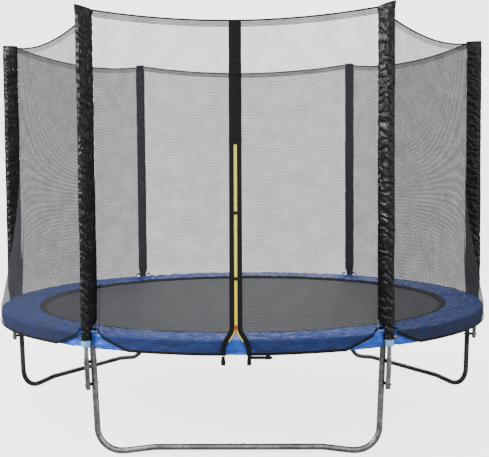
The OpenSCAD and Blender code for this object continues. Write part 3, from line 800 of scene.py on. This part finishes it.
def pad(m):
    """The safety pad: soft top, an outer edge that rolls over, and a skirt cut open at each pole."""
    inner, outer, top = PAD_INNER, PAD_R, PAD_HIGH[2]
    # columns all round, closer together beside each pole's slit
    angles = list(np.arange(0, 360, 0.75))
    for p in AXES:
        mid = math.degrees(math.atan2(p[1], p[0]))
        angles += list((mid + np.linspace(-2.4, 2.4, 41)) % 360)
    angles = np.radians(np.array(sorted(set(np.round(angles, 4)))))
    r, z, amount = pad_outline()
    ca, sa = np.cos(angles)[:, None], np.sin(angles)[:, None]
    rr = np.broadcast_to(r, (len(angles), len(r))).copy()
    zz = np.broadcast_to(z, (len(angles), len(r))).copy()
    is_skirt = (zz < top - 0.011) & (rr > outer - 0.003)
    # at each pole the edge is cut back round the foam and the skirt is open
    slit_r, least_r = 0.0272, 1.5239
    cut = np.zeros(len(angles))
    for p in AXES:
        rho = float(np.linalg.norm(p))
        delta = (angles - math.atan2(p[1], p[0]) + math.pi) % TAU - math.pi
        side = np.abs(rho * np.sin(delta))
        round_foam = rho * np.cos(delta) - np.sqrt(np.maximum(slit_r**2 - side**2, 0))
        limit = np.where(side < slit_r, round_foam, 9)
        rr = np.minimum(rr, np.maximum(limit, least_r)[:, None])
        cut = np.maximum(cut, ease((0.034 - side) / 0.012) * (np.abs(delta) < 0.2))
    lift = cut[:, None] * is_skirt
    zz = zz * (1 - lift) + np.maximum(zz, MAT_Z + 0.001 + 0.0045) * lift
    points = np.stack([rr * ca, rr * sa, zz], axis=-1)
    # wrinkles: drags that run at a slant over the top and cross each other, gathers down the skirt
    along = 1.5 * angles[:, None] + 0 * rr
    across = rr - outer - np.minimum(0, zz - (top - 0.006))
    drag = rough_noise(np.stack([along, rr * 4.0, zz * 4.0], axis=-1), 5.0, 2.0, 3)
    ridges = []
    for slant, seed in ((1.3, 21.0), (-1.3, 55.0)):
        where = np.stack([along + slant * across, across * 0.8, 0 * rr], axis=-1)
        ridges.append(1 - 2 * np.abs(rough_noise(where, 15.0, seed, 3)))
    fold = np.maximum(*ridges)
    fold = np.clip((fold - fold.mean()) / fold.std(), -2, 1.6)
    topness = amount[None, :] * (zz > top - 0.012) * (0.15 + 0.85 * ease((rr - inner - 0.01) / 0.06))
    points[..., 2] += topness * np.clip(0.0015 * drag + 0.0050 * fold - 0.0045, -0.0110, 0.0035)
    hang = is_skirt * np.clip((top - 0.006 - zz) / 0.025, 0, 1)
    inward = -hang * np.clip(0.0034 - 0.0034 * fold + 0.0012 * drag, 0, 0.0072)
    points[..., 0] += inward * ca
    points[..., 1] += inward * sa
    build = Build()
    # along the section: the first rows round the inner edge are black, then the top
    black_edge_rows, top_end = 4, 20
    build.grid(points, wrap_u=True, wrap_v=True, mat=lambda i, j: 1 if j < black_edge_rows else 0)
    # welted seams between the six sewn sections of the cover
    for q in range(6):
        a = math.radians(60 * q + 17)
        column = int(np.argmin(np.abs(angles - a)))
        build.tube(points[column, black_edge_rows:top_end] + [0, 0, 0.0006], 0.0016, 6)
    obj = build.make("safety_pad", [m["pad_vinyl"], m["black_webbing"]])
    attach(obj, "frame")
    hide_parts("pad")


WEDGES, SPRINGS = 18, 54
HEM_R = MAT_R - 0.052  # where the mat's hem starts


def wedge_angle(q):
    return q * TAU / WEDGES - math.pi / 2


def dip(obj):
    """Bakes the piece's place into its mesh."""
    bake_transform(obj)


def mat_wedge(q, m):
    """One sewn wedge of the jumping mat, with its hem and three rows of stitching."""
    angles = np.linspace(wedge_angle(q), wedge_angle(q + 1), 9)
    ray = np.stack([np.cos(angles), np.sin(angles)], axis=1)
    radii = np.concatenate([[0.0005], np.linspace(0.05, 1.20, 24), [HEM_R - 0.002, HEM_R + 0.001]])
    cloth = np.zeros((9, len(radii), 3))
    cloth[..., :2] = ray[:, None] * radii[None, :, None]
    cloth[..., 2] = MAT_Z - 0.0006
    build = Build()
    build.grid(cloth, flip=True)
    section = [(HEM_R, -0.0030), (HEM_R, -0.0004), (HEM_R + 0.002, 0.0003), (MAT_R - 0.002, 0.0003),
               (MAT_R, -0.0004), (MAT_R, -0.0030), (MAT_R - 0.002, -0.0035), (HEM_R + 0.002, -0.0035)]
    hem = np.zeros((9, len(section), 3))
    for j, (r, dz) in enumerate(section):
        hem[:, j, :2] = ray * r
        hem[:, j, 2] = MAT_Z + dz
    build.grid(hem, wrap_v=True, flip=True)
    for r in (HEM_R + 0.005, HEM_R + 0.026, MAT_R - 0.006):
        arc = np.stack([r * np.cos(angles), r * np.sin(angles), 0 * angles + MAT_Z + 0.0004], axis=1)
        build.tube(arc, 0.0008, 5)
    obj = build.make("mat_wedge_%02d" % (q + 1), [m["mat_fabric"]])
    dip(obj)
    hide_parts("mat")


def spring(build, a, z):
    """A coil spring at angle a with its two hooks, and the ring it pulls on."""
    out = np.array([math.cos(a), math.sin(a), 0])
    across = np.array([-math.sin(a), math.cos(a), 0])
    # the coil runs from radius r0 to r1 of the trampoline
    r0, r1, coil_r, wire, turns = 1.3575, 1.4735, 0.012, 0.0014, 24
    t = np.linspace(0, 1, turns * 9 + 1)
    turn = t * turns * TAU
    rad = (coil_r - wire) * np.minimum(1, 0.35 + 14 * np.minimum(t, 1 - t))
    coil = (out * (r0 + (r1 - r0) * t)[:, None] + across * (rad * np.cos(turn))[:, None]
            + UP * (rad * np.sin(turn))[:, None] + [0, 0, z])
    build.tube(coil, wire, 5)
    for end, hook, up in ((r0, 1.336, 1), (r1, 1.4985, -1)):
        sign = 1 if hook > end else -1
        path = [out * (end - sign * 0.004), out * (end + sign * 0.004), out * (hook - sign * 0.003),
                out * hook + [0, 0, up * 0.0035], out * (hook - sign * 0.001) + [0, 0, up * 0.008]]
        build.tube(np.array(path) + [0, 0, z], 0.0015, 6)
    # the ring on the mat's hem: wide at the mat, narrow where the spring hooks in
    apex, base = 1.342, 1.306
    corners = [out * base - across * 0.0165, out * base + across * 0.0165,
               out * apex + across * 0.0035, out * apex - across * 0.0035]
    loop = []
    for p, after in zip(corners, corners[1:] + corners[:1]):
        for share in np.linspace(0, 1, 6)[:-1]:
            loop.append(p + (after - p) * share)
    build.tube(np.array(loop) + [0, 0, MAT_Z - 0.0058], 0.0019, 6, closed=True)


def spring_group(q, m):
    """The springs and rings that hold one wedge of the mat."""
    build = Build()
    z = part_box("springs")[0][2] + 0.012
    for j in range(SPRINGS // WEDGES):
        spring(build, wedge_angle(q) + (j + 0.5) * TAU / SPRINGS, z)
    obj = build.make("spring_group_%02d" % (q + 1), [m["zinc_steel"]])
    dip(obj)
    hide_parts("springs", "mat_rings")


def bed(m):
    """The bed in eighteen sewn-together wedges, each with its hem, rings and springs."""
    for q in range(WEDGES):
        mat_wedge(q, m)
        spring_group(q, m)


def top_cord(edges, m):
    """The cord sewn into the net's top edge, round all six panels."""
    path = []
    for edge in edges:
        path += list(edge[:-1])
    path = np.array(path) + [0, 0, 0.0030]
    build = Build()
    build.tube(path, 0.0042, 8, closed=True)
    obj = build.make("net_top_edge", [m["black_webbing"]])
    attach(obj, "frame")
    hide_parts("top_cord")


def paint_cad(m):
    """Better materials on the CAD nodes that stay: tube, bolts, spacers, clips and slider."""
    slots = {part["node"]: part["material_slot"] for part in frame["record"]["subparts"]}
    shaded = ("leg_right", "leg_back_right", "leg_left", "leg_back_left")
    for node, obj in frame["nodes"].items():
        obj.data.materials.clear()
        obj.data.materials.append(m["side_steel" if node in shaded else slots[node]])


def stage_piece(name, verts, faces, color, glow):
    """A plain piece of the studio. It glows evenly, and only the camera sees the glow: it lights nothing."""
    mesh = bpy.data.meshes.new(name)
    mesh.from_pydata(verts, [], faces)
    shade = Shade(name, color, 0.9, spec=0.1)
    shade.color(shade.blend(shade.noise(shade.place(), 3, 2), tuple(c - 0.01 for c in color), color))
    shade.bsdf.inputs["Emission Color"].default_value = (1, 1, 1, 1)
    shade.bsdf.inputs["Emission Strength"].default_value = glow
    mesh.materials.append(shade.mat)
    obj = bpy.data.objects.new(name, mesh)
    bpy.context.scene.collection.objects.link(obj)
    obj.visible_diffuse = False
    obj.visible_glossy = False
    obj.visible_shadow = False


def studio():
    """A wide floor and a round backdrop behind it."""
    half = 20
    corners = [(-half, -half, 0), (half, -half, 0), (half, half, 0), (-half, half, 0)]
    stage_piece("floor", corners, [(0, 1, 2, 3)], (0.45, 0.45, 0.45), 3.0)
    radius, foot, height, n = 19.5, -0.5, 16, 48
    rim = [(radius * math.cos(TAU * i / n), radius * math.sin(TAU * i / n)) for i in range(n)]
    verts = [(x, y, foot) for x, y in rim] + [(x, y, height) for x, y in rim]
    faces = [(i, (i + 1) % n, n + (i + 1) % n, n + i) for i in range(n)]
    stage_piece("backdrop", verts, faces, (0.92, 0.92, 0.92), 2.8)


def main():
    set_camera()
    set_light()
    studio()
    m = make_materials()
    paint_cad(m)
    for k in range(len(POLES)):
        foam(k, m)
        sleeve(k, m)
    names = ["net_right_front", "net_right_back", "net_back", "net_left_back", "net_left_front"]
    edges = [net_panel(name, k, k + 1, 3.7 * k, m) for k, name in enumerate(names)]
    left, right = net_front(-1, m), net_front(1, m)
    top_strip(m)
    door_edges(m)
    top_cord(edges + [np.vstack([left, right[::-1]])], m)
    pad(m)
    bed(m)


main()
